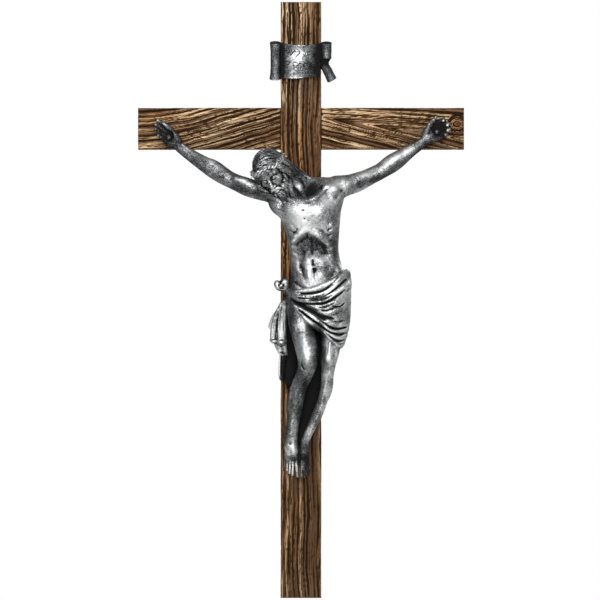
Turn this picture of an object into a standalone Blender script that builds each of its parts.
"""A wall and altar crucifix: two wood beams halved into each other, a cast white-metal figure with its
arms soldered on at the shoulders, a thorn crown, a cloth end, a scroll, nails, back screws and a hanger.

The origin is the centre of the crossing on the wall face. +Z is up, +X is to the viewer's right, and the
front looks towards -Y. Lengths are given in millimetres times MM, so the scene is in metres.
"""

import math

import bmesh
import bpy
from mathutils import Matrix, Vector

MM = 0.001
GAP = 0.3 * MM  # clearance between two pieces that touch

# ---- driving dimensions of the cross ----
UPRIGHT_ABOVE = 107.8 * MM  # from the crossing's centre to the top
UPRIGHT_BELOW_NAIL = 118.5 * MM  # from the foot nail to the upright's foot
UPRIGHT_WIDTH = 35.0 * MM
UPRIGHT_THICK = 22.0 * MM
CROSSBEAM_BEYOND_NAIL = 23.2 * MM  # from the farther hand's nail to the crossbeam's end
CROSSBEAM_HEIGHT = 35.8 * MM
CROSSBEAM_SETBACK = 2.0 * MM  # of the crossbeam's front behind the upright's
LAP_DEPTH = 10.0 * MM  # of the crossbeam's half of the lap, measured from the wall face
BEAM_EDGE = 1.2 * MM  # rounding along the beams' edges
HAND_SPAN = 228.4 * MM  # between the hand nails: the figure's size follows from it
THROUGH = 5.0 * MM  # how far a cutter runs past the face it opens

# ---- fasteners ----
LAP_SCREW_RADII = (1.6 * MM, 3.1 * MM)  # shank and head
LAP_SCREW_BITE = 7.0 * MM  # of its point beyond the lap
LAP_SCREW_INSET = 8.5 * MM  # of each lap screw from the crossing's edges
FIGURE_SCREW_RADII = (1.8 * MM, 3.6 * MM)
FIGURE_SCREW_BITE = 12.0 * MM
SCROLL_SCREW_RADII = (1.3 * MM, 2.5 * MM)
HANGER_SCREW_RADII = (1.3 * MM, 2.5 * MM)
HANGER_SCREW_LENGTH = 9.0 * MM
SLOT_WIDTH = 0.8 * MM
SLOT_DEPTH = 0.9 * MM
HEAD_SINK = 0.4 * MM  # how far a back screw's head lies below the wall face
HAND_NAIL_RADII = (0.9 * MM, 2.0 * MM)
FOOT_NAIL_RADII = (1.1 * MM, 2.2 * MM)
NAIL_BITE = 7.0 * MM  # of a nail's point into the wood

# ---- keyhole hanger ----
HANGER_BELOW_TOP = 21.8 * MM  # of the plate's centre below the upright's top
HANGER_WIDTH = 16.0 * MM
HANGER_HEIGHT = 40.0 * MM
HANGER_THICK = 1.5 * MM
HANGER_SUNK = 0.1 * MM
HANGER_SCREW_EDGE = 4.0 * MM  # of a screw's centre from the plate's end
KEY_RADIUS = 4.6 * MM
KEY_DROP = 5.0 * MM  # of the round hole's centre below the plate's centre
KEY_SLOT_WIDTH = 4.8 * MM
KEY_SLOT_RISE = 12.5 * MM  # of the slot's round end above the round hole's centre
POCKET_MARGIN = 0.9 * MM  # round the keyhole, in the wood behind the plate
POCKET_DEPTH = 9.0 * MM

# ---- scroll ----
SCROLL_BELOW_TOP = 50.3 * MM  # of its centre below the upright's top
SCROLL_HEIGHT = 30.0 * MM
SCROLL_THICK = 1.4 * MM
SCROLL_PANEL_HALF = 17.0 * MM
SCROLL_BOW = 2.6 * MM  # how far the panel's middle stands in front of its edges
SCROLL_STANDOFF = 1.2 * MM  # of the panel's edges in front of the wood
ROLL_RADIUS = 4.6 * MM
TEAR_WIDTH = 6.0 * MM
BOSS_RADIUS = 3.4 * MM

# ---- castings ----
SKIN_STEP = 1.25 * MM  # voxel of the body's skin
HAND_STEP = 1.05 * MM
CLOTH_STEP = 1.1 * MM
CROWN_STEP = 0.75 * MM
SEAM_SHARE = 0.34  # of the way from the shoulder's centre to the middle of the upper arm
PEG_RADIUS = 2.4 * MM
PEG_LENGTH = 6.0 * MM
CLOTH_PEG_RADIUS = 1.5 * MM
CLOTH_PEG_LENGTH = 4.0 * MM

# ---- what follows from them ----
PATTERN_SPAN = 228.4  # between the hand nails in the lists below, in millimetres
PATTERN_WOOD = 22.0  # of the wood's front before the wall face in the lists below, in millimetres
UNIT = HAND_SPAN / PATTERN_SPAN  # one millimetre of the lists, in metres
UPRIGHT_FRONT = -UPRIGHT_THICK
CROSSBEAM_FRONT = UPRIGHT_FRONT + CROSSBEAM_SETBACK
FIGURE_FRAME = (
    Matrix.Translation((0.0, UPRIGHT_FRONT, 0.0)) @ Matrix.Scale(UNIT, 4)
    @ Matrix.Translation((0.0, PATTERN_WOOD, 0.0))
)
HANGER_Z = UPRIGHT_ABOVE - HANGER_BELOW_TOP
KEY_Z = HANGER_Z - KEY_DROP
KEY_SLOT_Z = KEY_Z + KEY_SLOT_RISE
SCROLL_Z = UPRIGHT_ABOVE - SCROLL_BELOW_TOP
SCROLL_BACK = UPRIGHT_FRONT - SCROLL_STANDOFF

# ---- the figure's pattern ----
# The lists are in millimetres of a pattern whose hand nails are PATTERN_SPAN apart, in the part's own axes.
FIGURE_SCREW_PLACES = ((6.0, -88.0), (11.0, -140.0))  # x and z
RIGHT_HAND_NAIL = (-112.6, -29.4, -7.9)
LEFT_HAND_NAIL = (115.8, -29.6, -3.1)
FOOT_NAIL = (-6.0, -35.6, -281.7)
# Each limb is a chain of (x, y, z, radius) from the trunk outwards.
LEFT_ARM = (
    (30.7, -40.0, -49.9, 9.3), (50.3, -37.5, -44.7, 7.2),
    (61.0, -35.0, -40.0, 6.6), (69.0, -33.0, -36.2, 6.5),
    (79.3, -31.5, -28.6, 6.5), (93.8, -28.8, -18.6, 4.7), (104.8, -26.4, -12.0, 3.9),
)
RIGHT_ARM = (
    (-24.7, -40.5, -54.1, 9.0), (-43.5, -38.0, -50.9, 6.9),
    (-53.0, -36.0, -47.0, 6.5), (-61.4, -34.0, -43.4, 6.3),
    (-75.0, -32.0, -35.2, 6.7), (-94.6, -28.8, -22.6, 4.5), (-105.7, -26.6, -14.2, 3.8),
)
LEFT_PALM = ((108.5, -25.6, -9.0, 3.8), (115.5, -25.2, -4.6, 4.2), (119.5, -25.4, -1.6, 4.0))
RIGHT_PALM = ((-109.0, -25.6, -10.6, 3.7), (-114.5, -25.2, -5.6, 4.0), (-117.5, -25.2, -2.2, 3.7))
LEFT_FINGERS = (
    ((113.0, -26.0, -2.0, 1.9), (114.0, -27.5, 4.0, 1.7), (114.6, -28.6, 9.4, 1.5)),
    ((119.0, -25.8, 1.4, 1.8), (123.6, -27.6, 3.8, 1.7), (124.4, -31.0, 3.0, 1.5)),
    ((121.6, -25.8, -1.2, 1.8), (126.4, -27.8, 0.0, 1.7), (126.6, -31.6, -1.4, 1.5)),
    ((121.0, -25.8, -4.4, 1.8), (125.4, -27.6, -4.8, 1.7), (125.4, -31.0, -5.8, 1.5)),
)
RIGHT_FINGERS = (
    ((-113.5, -26.0, -3.0, 1.9), (-116.0, -28.6, 1.4, 1.7), (-119.4, -29.6, 4.8, 1.5)),
    ((-117.6, -25.6, -0.6, 1.8), (-121.6, -26.4, 4.6, 1.7), (-123.6, -28.4, 7.4, 1.5)),
    ((-119.0, -25.6, -2.2, 1.8), (-123.8, -26.4, 1.8, 1.7), (-125.0, -28.6, 4.4, 1.5)),
    ((-119.4, -25.6, -4.6, 1.8), (-123.4, -26.4, -2.6, 1.7), (-124.4, -28.8, -0.6, 1.5)),
)
RIGHT_LEG = (
    (-0.4, -41.0, -150.4, 11.6), (0.9, -46.0, -174.3, 10.2),
    (5.3, -52.5, -199.0, 8.3), (2.2, -50.5, -211.8, 7.2),
    (-3.2, -44.5, -229.7, 6.8), (-6.8, -36.5, -252.7, 5.0), (-8.5, -32.0, -268.0, 4.6),
)
LEFT_LEG = (
    (27.0, -40.0, -153.0, 12.6), (26.0, -45.0, -176.0, 9.9),
    (23.2, -50.0, -200.0, 7.6), (21.0, -47.0, -214.3, 6.4),
    (17.0, -41.0, -231.4, 6.2), (10.4, -34.0, -251.8, 4.8), (4.2, -29.4, -267.0, 4.3),
)
RIGHT_FOOT = ((-8.6, -30.5, -270.5, 5.0), (-8.6, -30.5, -280.0, 5.2), (-8.8, -29.0, -289.0, 4.6))
LEFT_FOOT = ((3.6, -27.6, -270.5, 4.6), (3.0, -27.4, -281.0, 4.6), (3.2, -27.0, -291.0, 4.2))
TOES_EACH = 5
TOE_RADIUS = 1.5
TOE_LENGTH = 6.0

# The trunk's rings from the shoulders down: centre (x, y, z), half width and half depth.
TRUNK_RINGS = (
    (4.0, -40.0, -46.0, 15.0, 9.0), (4.5, -40.0, -53.0, 29.5, 12.5), (5.5, -40.5, -63.0, 29.0, 15.0),
    (8.2, -41.5, -76.0, 25.4, 16.0), (10.0, -42.0, -90.0, 22.6, 15.8), (11.0, -42.0, -101.0, 20.6, 14.0),
    (12.0, -42.0, -111.0, 20.4, 13.4), (13.4, -42.0, -120.0, 21.8, 13.6), (14.5, -41.5, -132.0, 25.0, 15.4),
    (14.5, -40.5, -146.0, 26.0, 16.4), (14.0, -40.0, -158.0, 22.0, 13.0),
)
# Flat masses laid on the trunk: centre, radii and turn about Y in degrees.
TRUNK_MASSES = (
    ((-5.5, -52.0, -64.5), (13.0, 5.6, 9.5), -8.0),
    ((18.5, -52.0, -61.5), (13.0, 5.6, 9.5), 8.0),
    ((12.0, -51.0, -106.0), (9.0, 6.5, 20.0), 4.0),
    ((28.0, -44.0, -60.0), (8.0, 10.0, 13.0), 10.0),
    ((-17.0, -44.0, -63.0), (8.0, 10.0, 11.0), -16.0),
)
SHOULDER_GIRDLE = ((-22.0, -40.5, -55.0, 8.6), (3.0, -40.0, -56.5, 11.0), (29.0, -40.0, -50.6, 9.0))
NECK = ((1.0, -42.0, -58.0, 9.0), (-9.0, -48.0, -49.0, 8.0), (-17.0, -53.0, -43.0, 8.0))
COLLAR_BONES = (
    ((-1.0, -53.5, -58.4, 1.4), (10.0, -53.0, -54.4, 1.4), (24.0, -47.5, -47.0, 1.6)),
    ((-1.0, -53.5, -58.4, 1.4), (-9.0, -52.0, -58.0, 1.4), (-20.0, -47.0, -53.0, 1.6)),
)

# The loincloth's rings from its top edge down: centre (x, y, z), half width, half depth and rise to the right.
CLOTH_RINGS = (
    (13.5, -41.5, -130.0, 27.6, 17.6, 0.36), (14.0, -41.0, -140.0, 28.6, 18.4, 0.18),
    (14.0, -40.5, -150.0, 28.8, 18.6, -0.22), (13.0, -41.0, -160.0, 27.2, 18.4, -0.66),
    (14.0, -41.0, -166.0, 24.0, 17.0, -0.86),
)
KNOT_ANGLE = 192.0  # degrees round the cloth, counted from the viewer's right by way of the front
FOLD_END_ANGLE = -12.0
FOLD_COUNT = 9
FOLD_RADIUS = 1.7
FOLD_STEPS = 7

# The head's own frame: its centre, and the turns that bow, roll and turn it.
HEAD_CENTRE = (-25.0, -55.5, -37.5)
HEAD_BOW = 28.0  # degrees that the face looks down
HEAD_ROLL = 24.0  # degrees that the crown of the head leans to the viewer's left
HEAD_TURN = 26.0  # degrees that the face turns to the viewer's left
# Round masses of the head in that frame (x to the viewer's right, -y to the front): centre, radii.
HEAD_MASSES = (
    ((0.0, 2.0, 4.0), (13.2, 16.0, 14.5)),
    ((0.0, -4.0, -5.0), (10.4, 11.0, 12.5)),
    ((0.0, 6.0, -2.0), (13.4, 12.0, 17.0)),
    ((6.2, -11.0, -4.5), (3.2, 3.0, 3.2)),
    ((-6.2, -11.0, -4.5), (3.2, 3.0, 3.2)),
)
# Brow, nose, moustache, beard and the falls of hair, as (x, y, z, radius) chains in the head's frame.
HEAD_CHAINS = (
    ((-7.2, -12.0, 3.4, 1.7), (0.0, -14.2, 2.8, 1.5), (7.2, -12.0, 3.4, 1.7)),
    ((0.0, -14.0, 1.6, 1.2), (0.0, -17.0, -4.8, 1.9)),
    ((-5.4, -12.6, -11.4, 1.4), (0.0, -14.8, -8.6, 1.7), (5.4, -12.6, -11.4, 1.4)),
    ((0.0, -13.2, -12.4, 2.2), (0.0, -13.4, -17.0, 4.4), (0.4, -12.4, -22.0, 3.0), (0.6, -11.6, -26.0, 1.4)),
    ((-8.2, -7.0, -9.0, 3.0), (-5.0, -10.0, -15.5, 3.4), (-2.4, -11.4, -21.0, 2.4)),
    ((8.2, -7.0, -9.0, 3.0), (5.0, -10.0, -15.5, 3.4), (2.4, -11.4, -21.0, 2.4)),
    ((11.6, -3.5, 6.0, 3.0), (13.2, -2.0, -4.0, 3.6), (12.8, -1.0, -14.0, 3.6), (11.0, -2.0, -24.0, 2.2)),
    ((12.0, 3.0, 4.0, 3.6), (13.6, 3.5, -8.0, 4.2), (14.0, 3.0, -18.0, 4.0), (14.6, 1.0, -28.0, 2.2)),
    ((-11.6, -3.5, 6.0, 3.0), (-13.0, -2.5, -4.0, 3.6), (-12.4, -3.0, -14.0, 3.4), (-10.6, -6.0, -25.0, 2.0)),
    ((-12.0, 3.0, 4.0, 3.6), (-13.4, 3.5, -8.0, 4.0), (-12.8, 2.0, -19.0, 3.4)),
)
CROWN_RADII = (14.2, 16.8)
CROWN_STRAND = 1.35  # radius of each of the two twisted stems
CROWN_TWIST = 1.0  # of each stem's line from the ring's
CROWN_TURNS = 7
CROWN_LIFT = 6.5  # of the crown above the head's centre, along the head's own axis
CROWN_BACK = 1.5  # of its centre behind the head's
CROWN_TILT = -12.0  # degrees that the crown sits lower at the back
THORN_COUNT = 16
THORN_LENGTH = 3.6

# The knot, the cloth gathered into it, and the cloth's hanging end, as (x, y, z, radius) chains.
KNOT = (
    ((-17.0, -46.0, -129.6, 2.2), (-20.4, -46.0, -133.6, 2.6), (-17.2, -46.0, -138.0, 2.6)),
    ((-17.2, -47.5, -130.0, 2.4), (-13.0, -47.0, -133.8, 2.6), (-16.6, -47.0, -138.0, 2.4)),
    ((-17.0, -45.0, -132.0, 4.2), (-17.0, -45.0, -135.6, 4.2)),
)
CLOTH_GATHER = ((-16.0, -45.5, -135.4, 4.2), (-10.0, -45.0, -138.0, 5.0), (-2.0, -48.0, -141.0, 5.0))
CLOTH_END = (
    ((-17.5, -43.5, -138.0, 2.4), (-19.0, -39.0, -153.0, 2.2),
     (-22.8, -35.0, -171.0, 2.6), (-23.2, -32.6, -180.0, 2.1)),
    ((-16.5, -44.0, -138.0, 2.4), (-16.6, -39.5, -153.0, 2.4),
     (-19.2, -35.4, -172.0, 2.5), (-19.6, -32.8, -183.6, 2.0)),
    ((-15.6, -43.5, -138.0, 2.2), (-15.0, -39.0, -155.0, 2.1),
     (-15.4, -35.0, -176.0, 2.2), (-14.8, -32.0, -190.0, 2.3),
     (-15.0, -30.8, -203.0, 2.0), (-16.6, -30.0, -212.0, 1.5)),
    ((-17.0, -37.5, -158.0, 1.9), (-18.0, -34.0, -178.0, 1.9)),
    ((-21.0, -35.0, -168.0, 1.9), (-21.4, -32.6, -179.0, 1.7)),
)
KNOT_SEAM_X = -12.6
CLOTH_PEG_PLACE = (-44.5, -135.0)  # y and z of the peg that joins the cloth end to the hip
BACK_BOSS = 4.6  # radius of the pads behind the figure that meet the wood at its screws


def clear_scene():
    for item in list(bpy.data.objects):
        bpy.data.objects.remove(item, do_unlink=True)


def new_collection(name, helper=False):
    made = bpy.data.collections.new(name)
    made.hide_render = helper
    bpy.context.scene.collection.children.link(made)
    return made


def new_material(name, colour, roughness, metallic):
    made = bpy.data.materials.new(name)
    made.use_nodes = True
    shader = made.node_tree.nodes["Principled BSDF"]
    shader.inputs["Base Color"].default_value = (*colour, 1.0)
    shader.inputs["Roughness"].default_value = roughness
    shader.inputs["Metallic"].default_value = metallic
    return made


def add_object(name, mesh, material, collection):
    made = bpy.data.objects.new(name, mesh)
    collection.objects.link(made)
    if material:
        mesh.materials.append(material)
    return made


def mesh_from(bm, name):
    mesh = bpy.data.meshes.new(name)
    bm.to_mesh(mesh)
    bm.free()
    return mesh


def shade(obj, angle_degrees=35.0):
    obj.data.shade_smooth()
    obj.data.set_sharp_from_angle(angle=math.radians(angle_degrees))


def helper(obj):
    obj.hide_render = True
    obj.display_type = "WIRE"
    return obj


class Workshop:
    """Holds the two collections and the materials, and makes pieces and cutters in them."""

    def __init__(self):
        self.parts = new_collection("wall_crucifix")
        self.cutters = new_collection("cutters", helper=True)
        self.wood = new_material("carved_wood", (0.30, 0.17, 0.075), 0.6, 0.0)
        self.silver = new_material("antique_silver", (0.42, 0.43, 0.43), 0.36, 0.9)
        self.steel = new_material("zinc_steel", (0.55, 0.55, 0.53), 0.4, 1.0)

    def box(self, name, low, high, material=None):
        """A box between two corners. With no material it is a cutter."""
        low, high = Vector(low), Vector(high)
        bm = bmesh.new()
        size = Matrix.Diagonal((*(high - low), 1.0))
        bmesh.ops.create_cube(bm, size=1.0, matrix=Matrix.Translation((low + high) / 2) @ size)
        made = add_object(name, mesh_from(bm, name), material, self.parts if material else self.cutters)
        return made if material else helper(made)

    def rod(self, name, start, end, radius, sides=24):
        """A cylinder cutter from start to end."""
        start, end = Vector(start), Vector(end)
        bm = bmesh.new()
        add_cone(bm, start, end, radius, radius, sides)
        return helper(add_object(name, mesh_from(bm, name), None, self.cutters))

    def turned(self, name, profile, place, turn, material=None, steps=24):
        """A turned solid: profile is (radius, along) pairs from the axis round to the axis, top to bottom."""
        bm = bmesh.new()
        rim = [bm.verts.new((radius, 0.0, along)) for radius, along in profile]
        for first, second in zip(rim, rim[1:]):
            bm.edges.new((first, second))
        made = add_object(name, mesh_from(bm, name), material, self.parts if material else self.cutters)
        made.location = place
        made.rotation_euler = turn
        screw = made.modifiers.new("turn", "SCREW")
        screw.steps = screw.render_steps = steps
        screw.use_merge_vertices = True
        screw.merge_threshold = 0.00001
        return made if material else helper(made)


def boolean(obj, other, operation="DIFFERENCE"):
    modifier = obj.modifiers.new(f"{operation.lower()}_{other.name}", "BOOLEAN")
    modifier.operation = operation
    modifier.object = other
    modifier.solver = "EXACT"


def round_edges(obj, width, segments=2):
    bevel = obj.modifiers.new("round_edges", "BEVEL")
    bevel.width = width
    bevel.segments = segments
    bevel.limit_method = "ANGLE"
    bevel.angle_limit = math.radians(40)


def add_cone(bm, start, end, radius_start, radius_end, sides=14):
    """A closed cone or cylinder from start to end in a bmesh."""
    along = end - start
    turn = along.to_track_quat("Z", "Y").to_matrix().to_4x4()
    bmesh.ops.create_cone(
        bm, cap_ends=True, segments=sides, radius1=radius_start, radius2=radius_end, depth=along.length,
        matrix=Matrix.Translation((start + end) / 2) @ turn,
    )


def add_ball(bm, centre, radii, turn_about_y=0.0, frame=Matrix.Identity(4), sides=20):
    """A closed ellipsoid in a bmesh."""
    turn = Matrix.Rotation(math.radians(turn_about_y), 4, "Y")
    whole = frame @ Matrix.Translation(centre) @ turn @ Matrix.Diagonal((*radii, 1.0))
    bmesh.ops.create_uvsphere(bm, u_segments=sides, v_segments=sides * 3 // 5, radius=1.0, matrix=whole)


def add_chain(bm, points, frame=Matrix.Identity(4)):
    """Balls joined by cones along (x, y, z, radius) points: one limb, lock or fold."""
    places = [frame @ Vector(point[:3]) for point in points]
    sizes = [point[3] for point in points]
    for place, size in zip(places, sizes):
        add_ball(bm, place, (size, size, size), sides=14)
    for i in range(len(points) - 1):
        add_cone(bm, places[i], places[i + 1], sizes[i], sizes[i + 1])


def add_loft(bm, rings, sides=28):
    """A closed body through (x, y, z, half width, half depth, rise to the right) rings."""
    loops = []
    for ring in rings:
        x, y, z, wide, deep, rise = (*ring, 0.0)[:6]
        shape = Matrix(((wide, 0, 0, x), (0, deep, 0, y), (wide * rise, 0, 1, z), (0, 0, 0, 1)))
        made = bmesh.ops.create_circle(bm, cap_ends=False, segments=sides, radius=1.0, matrix=shape)
        loops.append(list({edge for vertex in made["verts"] for edge in vertex.link_edges}))
    for upper, lower in zip(loops, loops[1:]):
        bmesh.ops.bridge_loops(bm, edges=upper + lower)
    for loop in (loops[0], loops[-1]):
        bmesh.ops.holes_fill(bm, edges=loop, sides=0)


def figure_point(x, y, z):
    """A place in the figure's pattern as a place in the part."""
    return FIGURE_FRAME @ Vector((x, y, z))


def figure_object(shop, name, bm, material=None):
    """Makes an object of masses that were laid out in the figure's pattern."""
    bmesh.ops.transform(bm, matrix=FIGURE_FRAME, verts=bm.verts)
    made = add_object(name, mesh_from(bm, name), material, shop.parts if material else shop.cutters)
    return made if material else helper(made)


def cast_skin(obj, step, keep, smoothing=5):
    """Turns overlapping round masses into one smooth cast skin, then thins its faces to the share kept."""
    remesh = obj.modifiers.new("skin", "REMESH")
    remesh.mode = "VOXEL"
    remesh.voxel_size = step
    smooth = obj.modifiers.new("smooth", "SMOOTH")
    smooth.factor = 0.5
    smooth.iterations = smoothing
    thin = obj.modifiers.new("thin", "DECIMATE")
    thin.ratio = keep


def head_frame():
    """From the head's own frame to the figure's pattern."""
    turn = Matrix.Rotation(math.radians(-HEAD_TURN), 4, "Z")
    bow = Matrix.Rotation(math.radians(HEAD_BOW), 4, "X")
    roll = Matrix.Rotation(math.radians(-HEAD_ROLL), 4, "Y")
    return Matrix.Translation(HEAD_CENTRE) @ roll @ turn @ bow


def crown_frame():
    lift = Matrix.Translation((0.0, CROWN_BACK, CROWN_LIFT))
    return head_frame() @ lift @ Matrix.Rotation(math.radians(CROWN_TILT), 4, "X")


def on_cloth(down, angle):
    """A point on the loincloth: down is 0 at its top edge and 1 at its bottom one, angle is in degrees."""
    place = down * (len(CLOTH_RINGS) - 1)
    i = min(int(place), len(CLOTH_RINGS) - 2)
    share = place - i
    x, y, z, wide, deep, rise = (a + (b - a) * share for a, b in zip(CLOTH_RINGS[i], CLOTH_RINGS[i + 1]))
    out = wide * math.cos(math.radians(angle))
    return x + out, y - deep * math.sin(math.radians(angle)), z + out * rise


def cloth_folds():
    """The folds that fan out from the knot across the front to the far hip, each sagging in the middle."""
    folds = []
    for i in range(FOLD_COUNT):
        end = 0.03 + 0.93 * i / (FOLD_COUNT - 1)
        start = 0.35 + 0.3 * end
        fold = []
        for j in range(FOLD_STEPS):
            share = j / (FOLD_STEPS - 1)
            down = start + (end - start) * share + 0.10 * math.sin(math.pi * share)
            angle = KNOT_ANGLE + (FOLD_END_ANGLE - KNOT_ANGLE) * share
            radius = FOLD_RADIUS * (0.6 + 0.6 * math.sin(math.pi * (0.15 + 0.7 * share)))
            fold.append((*on_cloth(min(down, 1.0), angle), radius))
        folds.append(fold)
    return folds


# ---- beams ----

def upright_foot():
    """The height of the upright's lower end."""
    return figure_point(*FOOT_NAIL).z - UPRIGHT_BELOW_NAIL


def crossbeam_end():
    """Half of the crossbeam's length."""
    reach = max(abs(figure_point(*nail).x) for nail in (RIGHT_HAND_NAIL, LEFT_HAND_NAIL))
    return reach + CROSSBEAM_BEYOND_NAIL


def make_upright(shop):
    low = (-UPRIGHT_WIDTH / 2, UPRIGHT_FRONT, upright_foot())
    high = (UPRIGHT_WIDTH / 2, 0.0, UPRIGHT_ABOVE)
    upright = shop.box("upright_beam", low, high, shop.wood)
    round_edges(upright, BEAM_EDGE)
    half = CROSSBEAM_HEIGHT / 2 + GAP
    reach = UPRIGHT_WIDTH / 2 + THROUGH
    notch = shop.box("upright_notch", (-reach, -LAP_DEPTH - GAP, -half), (reach, THROUGH, half))
    boolean(upright, notch)
    # The pocket behind the hanger's keyhole, and the shallow bed that its plate lies in.
    bed_half = HANGER_WIDTH / 2 + GAP
    bed_reach = HANGER_HEIGHT / 2 + GAP
    bed_floor = -HANGER_SUNK - HANGER_THICK - GAP
    bed = shop.box(
        "hanger_bed", (-bed_half, bed_floor, HANGER_Z - bed_reach), (bed_half, THROUGH, HANGER_Z + bed_reach)
    )
    boolean(upright, bed)
    half_pocket = KEY_RADIUS + POCKET_MARGIN
    pocket_low = (-half_pocket, -POCKET_DEPTH, KEY_Z - half_pocket)
    pocket = shop.box("keyhole_pocket", pocket_low, (half_pocket, THROUGH, KEY_SLOT_Z + half_pocket))
    boolean(upright, pocket)
    return upright


def make_crossbeam(shop):
    half_length = crossbeam_end()
    half_height = CROSSBEAM_HEIGHT / 2
    low = (-half_length, CROSSBEAM_FRONT, -half_height)
    crossbeam = shop.box("crossbeam", low, (half_length, 0.0, half_height), shop.wood)
    round_edges(crossbeam, BEAM_EDGE)
    half = UPRIGHT_WIDTH / 2 + GAP
    reach = half_height + THROUGH
    notch = shop.box("crossbeam_notch", (-half, CROSSBEAM_FRONT - THROUGH, -reach), (half, -LAP_DEPTH, reach))
    boolean(crossbeam, notch)
    return crossbeam


# ---- fasteners ----

def screw_profile(shank, head, length, grow=0.0):
    """A countersunk screw from its head's flat face at 0 down to its point."""
    cone = head - shank
    tip = shank * 1.6
    return (
        (0.0, grow + (THROUGH if grow else 0.0)),
        (head + grow, grow + (THROUGH if grow else 0.0)),
        (head + grow, -0.3 * MM),
        (shank + grow, -0.3 * MM - cone),
        (shank + grow, -length + tip),
        (0.0, -length - grow * 2),
    )


BACK_TURN = (math.radians(-90), 0.0, 0.0)  # a turned piece's top faces the wall, +Y
FRONT_TURN = (math.radians(90), 0.0, 0.0)  # a turned piece's top faces the viewer, -Y


def back_screw(shop, name, radii, length, x, z, pieces, sink=HEAD_SINK):
    """A slotted countersunk screw driven from the wall face, with its clearance hole in each piece."""
    place = (x, -sink, z)
    screw = shop.turned(name, screw_profile(*radii, length), place, BACK_TURN, shop.steel)
    shade(screw)
    reach = radii[1] + MM
    slot = shop.box(
        f"{name}_slot",
        (x - reach, -sink - SLOT_DEPTH, z - SLOT_WIDTH / 2),
        (x + reach, THROUGH, z + SLOT_WIDTH / 2),
    )
    boolean(screw, slot)
    hole = shop.turned(f"{name}_hole", screw_profile(*radii, length, grow=GAP), place, BACK_TURN)
    for piece in pieces:
        boolean(piece, hole)


def nail_profile(shank, head, length):
    """A nail with a domed head: the dome's underside is at 0, and the point is below."""
    dome = [(math.sin(a) * head, math.cos(a) * head * 0.55) for a in (0.0, 0.5, 0.95, 1.3)]
    return (*dome, (head, 0.0), (shank, 0.0), (shank, -length + shank * 2), (0.0, -length))


def nail_hole_profile(shank, length):
    wall = shank + GAP
    return ((0.0, THROUGH), (wall, THROUGH), (wall, -length + shank * 2), (0.0, -length - GAP * 2))


def front_nail(shop, name, radii, place, wood_front, pieces):
    """A nail driven from the front, and its clearance hole in each piece it passes."""
    length = wood_front - place.y + NAIL_BITE
    nail = shop.turned(name, nail_profile(*radii, length), place, FRONT_TURN, shop.silver, steps=20)
    shade(nail)
    hole = shop.turned(f"{name}_hole", nail_hole_profile(radii[0], length), place, FRONT_TURN, steps=20)
    for piece in pieces:
        boolean(piece, hole)


# ---- hanger ----

def make_hanger(shop):
    face = -HANGER_SUNK
    low = (-HANGER_WIDTH / 2, face - HANGER_THICK, HANGER_Z - HANGER_HEIGHT / 2)
    plate = shop.box("keyhole_hanger", low, (HANGER_WIDTH / 2, face, HANGER_Z + HANGER_HEIGHT / 2), shop.steel)
    back, front = THROUGH, -HANGER_THICK - THROUGH
    boolean(plate, shop.rod("keyhole_round", (0, back, KEY_Z), (0, front, KEY_Z), KEY_RADIUS, 32))
    half_slot = KEY_SLOT_WIDTH / 2
    boolean(plate, shop.box("keyhole_slot", (-half_slot, front, KEY_Z), (half_slot, back, KEY_SLOT_Z)))
    boolean(plate, shop.rod("keyhole_end", (0, back, KEY_SLOT_Z), (0, front, KEY_SLOT_Z), half_slot, 24))
    return plate


# ---- scroll ----

def make_scroll(shop):
    """A thin cast sheet whose two ends roll forward, with a boss at its back for the screw."""
    half = SCROLL_PANEL_HALF
    roll_x = half + ROLL_RADIUS - MM
    roll_y = SCROLL_BACK - ROLL_RADIUS + 0.4 * MM
    # Each roll runs from the panel's edge round the wall side and the outside to its free end.
    start, end, steps = math.radians(118), math.radians(-170), 15
    angles = [start + (end - start) * i / (steps - 1) for i in range(steps)]
    right = [(roll_x + ROLL_RADIUS * math.cos(a), roll_y + ROLL_RADIUS * math.sin(a)) for a in angles]
    left = [(-x, y) for x, y in right[::-1]]
    shares = [i / 8 for i in range(-7, 8)]
    panel = [(half * s, SCROLL_BACK - SCROLL_BOW * (1 - s * s)) for s in shares]
    curve = bpy.data.curves.new("scroll_line", "CURVE")
    curve.dimensions = "3D"
    curve.extrude = SCROLL_HEIGHT / 2
    line = curve.splines.new("POLY")
    points = left + panel + right
    line.points.add(len(points) - 1)
    for point, (x, y) in zip(line.points, points):
        point.co = (x, y, 0.0, 1.0)
    drawn = bpy.data.objects.new("scroll_line", curve)
    shop.cutters.objects.link(drawn)
    graph = bpy.context.evaluated_depsgraph_get()
    mesh = bpy.data.meshes.new_from_object(drawn.evaluated_get(graph))
    bpy.data.objects.remove(drawn)
    scroll = add_object("titulus_scroll", mesh, shop.silver, shop.parts)
    scroll.location = (0.0, 0.0, SCROLL_Z)
    sheet = scroll.modifiers.new("sheet", "SOLIDIFY")
    sheet.thickness = SCROLL_THICK
    sheet.offset = 0.0
    # The right end is torn into an upper and a lower curl by a pointed notch.
    bm = bmesh.new()
    place = Matrix.Translation((half + 2 * ROLL_RADIUS, roll_y, SCROLL_Z))
    tear = place @ Matrix.Rotation(math.radians(45), 4, "Y") @ Matrix.Diagonal((9 * MM, 30 * MM, TEAR_WIDTH, 1.0))
    bmesh.ops.create_cube(bm, size=1.0, matrix=tear)
    boolean(scroll, helper(add_object("scroll_tear", mesh_from(bm, "scroll_tear"), None, shop.cutters)))
    boss_front = SCROLL_BACK - SCROLL_BOW - SCROLL_THICK / 4
    boss = shop.rod("scroll_boss", (0, UPRIGHT_FRONT - GAP, SCROLL_Z), (0, boss_front, SCROLL_Z), BOSS_RADIUS)
    boolean(scroll, boss, "UNION")
    return scroll


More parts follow.
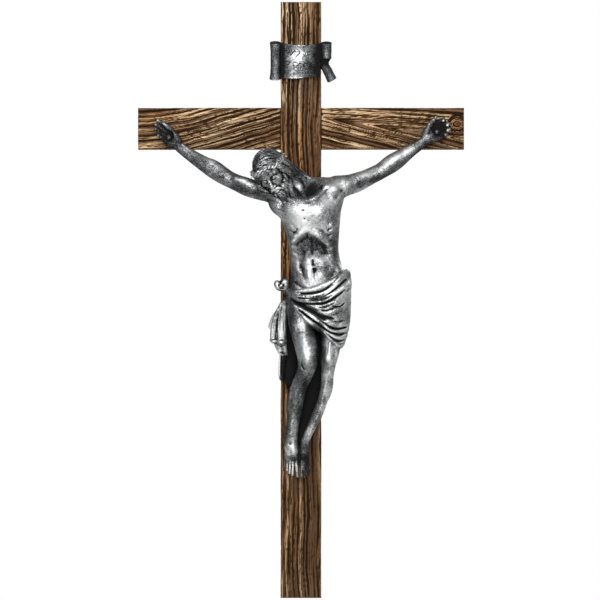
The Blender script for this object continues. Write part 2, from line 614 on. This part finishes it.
# ---- castings ----

def add_toes(bm, ball_centre, width, spread_x, drop, count=TOES_EACH, big_at_right=True):
    """A row of toes below the ball of a foot, the big toe at one end."""
    x, y, z = ball_centre
    for i in range(count):
        share = i / (count - 1)
        from_big = (1 - share) if big_at_right else share
        size = TOE_RADIUS * (1.35 - 0.5 * from_big)
        reach = TOE_LENGTH * (1.15 - 0.45 * from_big)
        at_x = x + (share - 0.5) * width
        end = (at_x + (share - 0.5) * spread_x, y + drop, z - reach)
        add_chain(bm, ((at_x, y, z, size), (*end, size * 0.9)))


def make_body(shop):
    """The body casting: trunk, neck, head, legs and loincloth in one pour."""
    bm = bmesh.new()
    add_loft(bm, TRUNK_RINGS)
    add_loft(bm, CLOTH_RINGS)
    for centre, radii, turn in TRUNK_MASSES:
        add_ball(bm, centre, radii, turn)
    limbs = (RIGHT_LEG, LEFT_LEG, RIGHT_FOOT, LEFT_FOOT)
    for chain in (SHOULDER_GIRDLE, NECK, *COLLAR_BONES, *limbs, CLOTH_GATHER, *cloth_folds()):
        add_chain(bm, chain)
    for x, z in FIGURE_SCREW_PLACES:
        add_chain(bm, ((x, -34.0, z, BACK_BOSS), (x, -PATTERN_WOOD, z, BACK_BOSS)))
    add_chain(bm, (LEFT_ARM[0], LEFT_ARM[1]))
    add_chain(bm, (RIGHT_ARM[0], RIGHT_ARM[1]))
    add_toes(bm, (-8.8, -29.4, -290.0), 9.0, 2.0, 1.0, big_at_right=True)
    add_toes(bm, (3.2, -27.0, -292.0), 8.4, 2.0, 0.6, big_at_right=False)
    for centre, radii in HEAD_MASSES:
        add_ball(bm, centre, radii, frame=head_frame())
    for chain in HEAD_CHAINS:
        add_chain(bm, chain, head_frame())
    body = figure_object(shop, "figure_body", bm, shop.silver)
    cast_skin(body, SKIN_STEP, 0.058)
    shade(body, 60)
    return body


def make_arm(shop, name, chain, palm, fingers):
    bm = bmesh.new()
    add_chain(bm, chain)
    add_chain(bm, (chain[-1], *palm))
    for finger in fingers:
        add_chain(bm, finger)
    arm = figure_object(shop, name, bm, shop.silver)
    cast_skin(arm, HAND_STEP, 0.1, smoothing=2)
    shade(arm, 60)
    return arm


def seam_frame(chain):
    """The solder seam's place and direction: part of the way from the shoulder to the upper arm's middle."""
    shoulder, middle = figure_point(*chain[0][:3]), figure_point(*chain[1][:3])
    along = (middle - shoulder).normalized()
    return shoulder + (middle - shoulder) * SEAM_SHARE, along


def join_arm(shop, body, arm, chain):
    """Parts an arm from the body at a flat seam, and gives it a peg that seats in the body's socket."""
    seam, along = seam_frame(chain)
    turn = along.to_track_quat("Z", "Y").to_matrix().to_4x4()
    far = HAND_SPAN / 2
    for piece, side, clearance, width in ((body, 1, 0.0, 26 * UNIT), (arm, -1, GAP, 90 * UNIT)):
        bm = bmesh.new()
        centre = Matrix.Translation(seam + along * (side * far / 2 + clearance))
        size = Matrix.Diagonal((width, width, far, 1.0))
        bmesh.ops.create_cube(bm, size=1.0, matrix=centre @ turn @ size)
        name = f"{arm.name}_beyond" if piece is body else f"{arm.name}_before"
        boolean(piece, helper(add_object(name, mesh_from(bm, name), None, shop.cutters)))
    outer = seam + along * PEG_LENGTH
    peg = shop.rod(f"{arm.name}_peg", seam - along * PEG_LENGTH, outer, PEG_RADIUS, 20)
    boolean(arm, peg, "UNION")
    socket_end = seam - along * (PEG_LENGTH + GAP)
    socket = shop.rod(f"{arm.name}_socket", socket_end, outer, PEG_RADIUS + GAP, 20)
    boolean(body, socket)


def crown_object(shop, name, grow=0.0, material=None):
    """The thorn crown, or with grow its bed in the head: two twisted stems in a ring, with thorns round it."""
    bm = bmesh.new()
    count = 56
    size = CROWN_STRAND + grow / UNIT
    wide, deep = CROWN_RADII
    for strand in (0, 1):
        ring = []
        for i in range(count):
            a = 2 * math.pi * i / count
            twist = CROWN_TURNS * a + math.pi * strand
            out = CROWN_TWIST * math.cos(twist)
            up = CROWN_TWIST * math.sin(twist)
            ring.append(Vector(((wide + out) * math.cos(a), (deep + out) * math.sin(a), up)))
        for i in range(count):
            add_cone(bm, ring[i], ring[(i + 1) % count], size, size, 10)
            add_ball(bm, ring[i], (size, size, size), sides=10)
    for i in range(THORN_COUNT):
        a = 2 * math.pi * (i + 0.5) / THORN_COUNT
        root = Vector((wide * math.cos(a), deep * math.sin(a), 0.0))
        lean = Vector((math.cos(a + 0.5), math.sin(a + 0.5), 0.7 if i % 2 else -0.35)).normalized()
        tip = root + lean * (size + CROWN_TWIST + THORN_LENGTH)
        add_cone(bm, root, tip, 1.2 + grow / UNIT, 0.55 + grow / UNIT, 8)
    bmesh.ops.transform(bm, matrix=crown_frame(), verts=bm.verts)
    made = figure_object(shop, name, bm, material)
    cast_skin(made, CROWN_STEP, 0.15 if material else 0.3, smoothing=1)
    return made


def make_crown(shop, body):
    """The thorn crown, and the bed that it lies in round the brow."""
    crown = crown_object(shop, "thorn_crown", material=shop.silver)
    shade(crown, 60)
    boolean(body, crown_object(shop, "crown_bed", grow=GAP))


def make_cloth_end(shop, body):
    """The knot and the hanging end of the loincloth, a casting of its own pegged at the hip."""
    bm = bmesh.new()
    for chain in (*KNOT, *CLOTH_END):
        add_chain(bm, chain)
    end = figure_object(shop, "cloth_end", bm, shop.silver)
    cast_skin(end, CLOTH_STEP, 0.2, smoothing=2)
    shade(end, 60)
    seam = figure_point(KNOT_SEAM_X, 0.0, 0.0).x
    low = figure_point(-60.0, -80.0, -225.0)
    high = figure_point(30.0, -PATTERN_WOOD, -124.0)
    boolean(body, shop.box("knot_outer", low, (seam, high.y, high.z)))
    boolean(end, shop.box("knot_inner", (seam - GAP, low.y, low.z), high))
    place = figure_point(KNOT_SEAM_X, *CLOTH_PEG_PLACE)
    along = Vector((CLOTH_PEG_LENGTH, 0.0, 0.0))
    boolean(end, shop.rod("cloth_end_peg", place - along, place + along, CLOTH_PEG_RADIUS, 16), "UNION")
    socket_end = place + along + Vector((GAP, 0.0, 0.0))
    boolean(body, shop.rod("cloth_end_socket", place - along, socket_end, CLOTH_PEG_RADIUS + GAP, 16))


def clear_of_beams(shop, pieces):
    """Keeps every casting just in front of the beams that it lies on."""
    half = UPRIGHT_WIDTH / 2 + GAP
    upright = shop.box(
        "upright_clearance", (-half, UPRIGHT_FRONT - GAP, upright_foot()), (half, THROUGH, UPRIGHT_ABOVE)
    )
    tall = CROSSBEAM_HEIGHT / 2 + GAP
    wide = crossbeam_end()
    crossbeam = shop.box("crossbeam_clearance", (-wide, CROSSBEAM_FRONT - GAP, -tall), (wide, THROUGH, tall))
    for piece in pieces:
        boolean(piece, upright)
        boolean(piece, crossbeam)


def main():
    clear_scene()
    shop = Workshop()
    upright = make_upright(shop)
    crossbeam = make_crossbeam(shop)
    hanger = make_hanger(shop)
    scroll = make_scroll(shop)
    body = make_body(shop)
    right_arm = make_arm(shop, "figure_right_arm", RIGHT_ARM, RIGHT_PALM, RIGHT_FINGERS)
    left_arm = make_arm(shop, "figure_left_arm", LEFT_ARM, LEFT_PALM, LEFT_FINGERS)
    clear_of_beams(shop, (body, right_arm, left_arm))
    join_arm(shop, body, right_arm, RIGHT_ARM)
    join_arm(shop, body, left_arm, LEFT_ARM)
    make_crown(shop, body)
    make_cloth_end(shop, body)

    lap_x = UPRIGHT_WIDTH / 2 - LAP_SCREW_INSET
    lap_z = CROSSBEAM_HEIGHT / 2 - LAP_SCREW_INSET
    lap_length = LAP_DEPTH + LAP_SCREW_BITE
    back_screw(shop, "lap_screw_upper", LAP_SCREW_RADII, lap_length, lap_x, lap_z, (crossbeam, upright))
    back_screw(shop, "lap_screw_lower", LAP_SCREW_RADII, lap_length, -lap_x, -lap_z, (crossbeam, upright))
    for name, (x, z) in zip(("figure_screw_upper", "figure_screw_lower"), FIGURE_SCREW_PLACES):
        place = figure_point(x, 0.0, z)
        length = UPRIGHT_THICK + FIGURE_SCREW_BITE
        back_screw(shop, name, FIGURE_SCREW_RADII, length, place.x, place.z, (upright, body))
    length = UPRIGHT_THICK + SCROLL_STANDOFF + SCROLL_BOW - SCROLL_THICK / 2
    back_screw(shop, "scroll_screw", SCROLL_SCREW_RADII, length, 0.0, SCROLL_Z, (upright, scroll))
    hanger_reach = HANGER_HEIGHT / 2 - HANGER_SCREW_EDGE
    for name, side in (("hanger_screw_upper", 1), ("hanger_screw_lower", -1)):
        z = HANGER_Z + side * hanger_reach
        pieces = (hanger, upright)
        back_screw(shop, name, HANGER_SCREW_RADII, HANGER_SCREW_LENGTH, 0.0, z, pieces, sink=HANGER_SUNK)

    right, left, foot = (figure_point(*nail) for nail in (RIGHT_HAND_NAIL, LEFT_HAND_NAIL, FOOT_NAIL))
    front_nail(shop, "right_hand_nail", HAND_NAIL_RADII, right, CROSSBEAM_FRONT, (right_arm, crossbeam))
    front_nail(shop, "left_hand_nail", HAND_NAIL_RADII, left, CROSSBEAM_FRONT, (left_arm, crossbeam))
    front_nail(shop, "foot_nail", FOOT_NAIL_RADII, foot, UPRIGHT_FRONT, (body, upright))


main()
